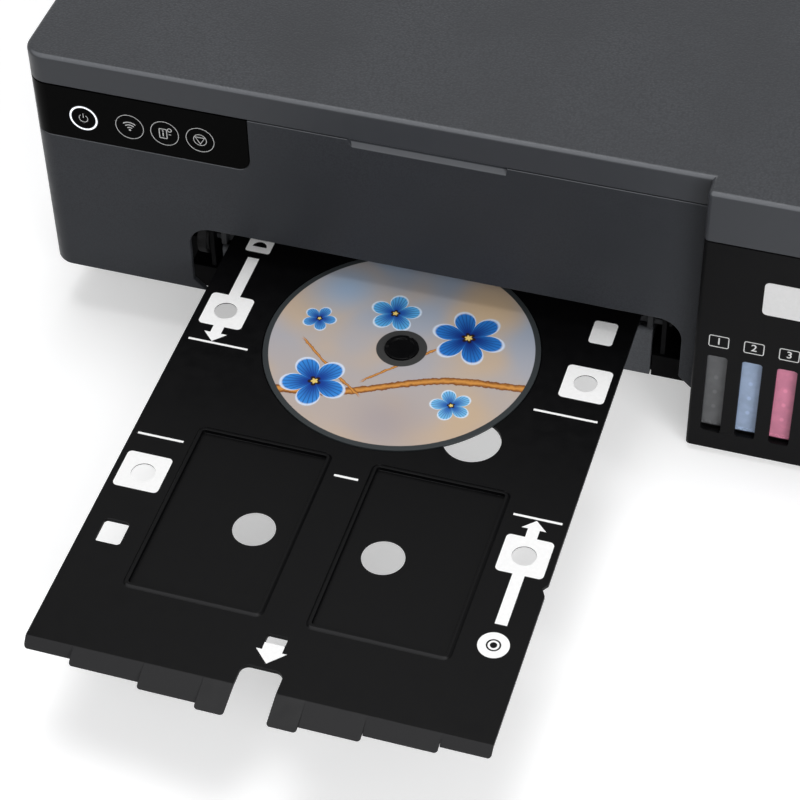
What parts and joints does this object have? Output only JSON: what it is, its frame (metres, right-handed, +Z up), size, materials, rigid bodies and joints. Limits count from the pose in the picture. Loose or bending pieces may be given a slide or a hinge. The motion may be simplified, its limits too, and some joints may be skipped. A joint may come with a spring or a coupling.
{
  "type": "inkjet photo printer",
  "caption": "Desktop inkjet photo printer with side ink tanks under a hinged cover and a slide-in disc and card tray.",
  "frame": {"origin": "on the table, under the middle of the whole printer with its disc tray pulled out", "axes": "+X to the user's right, +Y from the user towards the back, +Z up"},
  "size_m": [0.403, 0.599, 0.1491],
  "materials": {
    "casing_grey": "fine satin texture",
    "casing_black": "satin",
    "tray_black": "fine matt texture",
    "panel_gloss": "high gloss",
    "light_ring": "translucent, lit white",
    "disc_face": "printed face",
    "inner_plastic": "moulded",
    "guide_grey": "satin",
    "steel": "zinc plated",
    "rubber_black": "matt",
    "circuit_board": "solder mask",
    "absorber_box": "moulded",
    "ink_1": "clear tank with photo black ink",
    "cap_1": "coloured cap",
    "ink_2": "clear tank with light cyan ink",
    "cap_2": "coloured cap",
    "ink_3": "clear tank with light magenta ink",
    "cap_3": "coloured cap",
    "ink_4": "clear tank with cyan ink",
    "cap_4": "coloured cap",
    "ink_5": "clear tank with magenta ink",
    "cap_5": "coloured cap",
    "ink_6": "clear tank with yellow ink",
    "cap_6": "coloured cap"
  },
  "bodies": {
    "printer": {"lower_housing": "casing_black", "main_housing": "casing_grey", "tank_housing": "casing_black", "rear_housing": "casing_grey", "cover_hinge_pins": "steel", "control_panel": "panel_gloss", "power_light_ring": "light_ring", "disc_tray_guides": "guide_grey", "side_frames": "inner_plastic", "platen": "inner_plastic", "feed_belt": "rubber_black", "feed_motor": "steel", "paper_guide": "inner_plastic", "steel_frame": "steel", "guide_rod": "steel", "timing_belt": "rubber_black", "carriage_motor": "steel", "capping_station": "inner_plastic", "power_supply": "inner_plastic", "mainboard": "circuit_board", "power_inlet": "casing_black", "usb_port": "steel", "rubber_feet": "rubber_black", "housing_screws": "steel", "ink_tank_1": "ink_1", "ink_tank_2": "ink_2", "ink_tank_3": "ink_3", "ink_tank_4": "ink_4", "ink_tank_5": "ink_5", "ink_tank_6": "ink_6"},
    "top_cover": {"top_cover": "casing_grey"},
    "rear_feed_cover": {"rear_feed_cover": "casing_grey"},
    "power_button": {"power_button": "panel_gloss"},
    "wireless_button": {"wireless_button": "panel_gloss"},
    "info_button": {"info_button": "panel_gloss"},
    "stop_button": {"stop_button": "panel_gloss"},
    "output_tray": {"output_tray": "casing_grey"},
    "output_tray_extension": {"output_tray_extension": "inner_plastic"},
    "exit_roller": {"exit_roller": "rubber_black"},
    "feed_roller": {"feed_roller": "rubber_black"},
    "hopper": {"hopper": "inner_plastic"},
    "edge_guide_left": {"edge_guide_left": "guide_grey"},
    "edge_guide_right": {"edge_guide_right": "guide_grey"},
    "pickup_roller": {"pickup_roller": "rubber_black"},
    "paper_support": {"paper_support": "casing_grey"},
    "drive_pulley": {"drive_pulley": "inner_plastic"},
    "idler_pulley": {"idler_pulley": "inner_plastic"},
    "maintenance_box": {"maintenance_box": "absorber_box"},
    "ink_cap_1": {"ink_cap_1": "cap_1"},
    "ink_cap_2": {"ink_cap_2": "cap_2"},
    "ink_cap_3": {"ink_cap_3": "cap_3"},
    "ink_cap_4": {"ink_cap_4": "cap_4"},
    "ink_cap_5": {"ink_cap_5": "cap_5"},
    "ink_cap_6": {"ink_cap_6": "cap_6"},
    "disc_tray": {"disc_tray": "tray_black", "disc_hub": "tray_black", "disc": "disc_face"},
    "carriage": {"carriage": "inner_plastic", "print_head": "inner_plastic"}
  },
  "joints": [
    {"name": "top_cover_hinge", "type": "hinge", "parent": "printer", "child": "top_cover", "pos_m": [-0.0215, 0.1559, 0.1445], "axis": [-1, 0, 0], "range_deg": [0, 60]},
    {"name": "rear_feed_cover_hinge", "type": "hinge", "parent": "printer", "child": "rear_feed_cover", "pos_m": [-0.0215, 0.2062, 0.1471], "axis": [1, 0, 0], "range_deg": [0, 90]},
    {"name": "power_button_press", "type": "slide", "parent": "printer", "child": "power_button", "axis": [0, 1, 0], "range_m": [0, 0.0006], "stiffness_N_per_m": 300},
    {"name": "wireless_button_press", "type": "slide", "parent": "printer", "child": "wireless_button", "axis": [0, 1, 0], "range_m": [0, 0.0006], "stiffness_N_per_m": 300},
    {"name": "info_button_press", "type": "slide", "parent": "printer", "child": "info_button", "axis": [0, 1, 0], "range_m": [0, 0.0006], "stiffness_N_per_m": 300},
    {"name": "stop_button_press", "type": "slide", "parent": "printer", "child": "stop_button", "axis": [0, 1, 0], "range_m": [0, 0.0006], "stiffness_N_per_m": 300},
    {"name": "disc_tray_slide", "type": "slide", "parent": "printer", "child": "disc_tray", "axis": [0, -1, 0], "range_m": [-0.165, 0.06]},
    {"name": "output_tray_slide", "type": "slide", "parent": "printer", "child": "output_tray", "axis": [0, -1, 0], "range_m": [0, 0.12]},
    {"name": "output_tray_extension_slide", "type": "slide", "parent": "output_tray", "child": "output_tray_extension", "axis": [0, -1, 0], "range_m": [0, 0.095]},
    {"name": "feed_roller_spin", "type": "hinge", "parent": "printer", "child": "feed_roller", "pos_m": [-0.0215, 0.0279, 0.0435], "axis": [1, 0, 0], "continuous": true},
    {"name": "exit_roller_spin", "type": "hinge", "parent": "printer", "child": "exit_roller", "pos_m": [-0.0215, -0.0396, 0.0435], "axis": [1, 0, 0], "continuous": true},
    {"name": "hopper_tilt", "type": "hinge", "parent": "printer", "child": "hopper", "pos_m": [-0.0215, 0.24665, 0.13522], "axis": [-1, 0, 0], "range_deg": [0, 3.5]},
    {"name": "edge_guide_left_slide", "type": "slide", "parent": "hopper", "child": "edge_guide_left", "axis": [1, 0, 0], "range_m": [0, 0.05]},
    {"name": "edge_guide_right_slide", "type": "slide", "parent": "hopper", "child": "edge_guide_right", "axis": [1, 0, 0], "range_m": [-0.05, 0]},
    {"name": "pickup_roller_spin", "type": "hinge", "parent": "printer", "child": "pickup_roller", "pos_m": [-0.0215, 0.20026, 0.08293], "axis": [1, 0, 0], "continuous": true},
    {"name": "paper_support_slide", "type": "slide", "parent": "printer", "child": "paper_support", "axis": [0, 0.4226, 0.9063], "range_m": [0, 0.07]},
    {"name": "carriage_slide", "type": "slide", "parent": "printer", "child": "carriage", "axis": [1, 0, 0], "range_m": [0, 0.225]},
    {"name": "drive_pulley_spin", "type": "hinge", "parent": "printer", "child": "drive_pulley", "pos_m": [-0.1815, 0.0209, 0.092], "axis": [0, 1, 0], "continuous": true},
    {"name": "idler_pulley_spin", "type": "hinge", "parent": "printer", "child": "idler_pulley", "pos_m": [0.0825, 0.0209, 0.092], "axis": [0, 1, 0], "continuous": true},
    {"name": "maintenance_box_slide", "type": "slide", "parent": "printer", "child": "maintenance_box", "axis": [0, 1, 0], "range_m": [0, 0.085]},
    {"name": "ink_cap_1_hinge", "type": "hinge", "parent": "printer", "child": "ink_cap_1", "pos_m": [0.111, -0.0181, 0.1155], "axis": [-1, 0, 0], "range_deg": [0, 110]},
    {"name": "ink_cap_2_hinge", "type": "hinge", "parent": "printer", "child": "ink_cap_2", "pos_m": [0.126, -0.0181, 0.1155], "axis": [-1, 0, 0], "range_deg": [0, 110]},
    {"name": "ink_cap_3_hinge", "type": "hinge", "parent": "printer", "child": "ink_cap_3", "pos_m": [0.141, -0.0181, 0.1155], "axis": [-1, 0, 0], "range_deg": [0, 110]},
    {"name": "ink_cap_4_hinge", "type": "hinge", "parent": "printer", "child": "ink_cap_4", "pos_m": [0.156, -0.0181, 0.1155], "axis": [-1, 0, 0], "range_deg": [0, 110]},
    {"name": "ink_cap_5_hinge", "type": "hinge", "parent": "printer", "child": "ink_cap_5", "pos_m": [0.171, -0.0181, 0.1155], "axis": [-1, 0, 0], "range_deg": [0, 110]},
    {"name": "ink_cap_6_hinge", "type": "hinge", "parent": "printer", "child": "ink_cap_6", "pos_m": [0.186, -0.0181, 0.1155], "axis": [-1, 0, 0], "range_deg": [0, 110]}
  ],
  "couplings": [
    {"joint": "exit_roller_spin", "follows": "feed_roller_spin", "ratio": 1},
    {"joint": "edge_guide_right_slide", "follows": "edge_guide_left_slide", "ratio": -1},
    {"joint": "drive_pulley_spin", "follows": "carriage_slide", "rad_per_m": -144.93},
    {"joint": "idler_pulley_spin", "follows": "carriage_slide", "rad_per_m": -144.93}
  ]
}
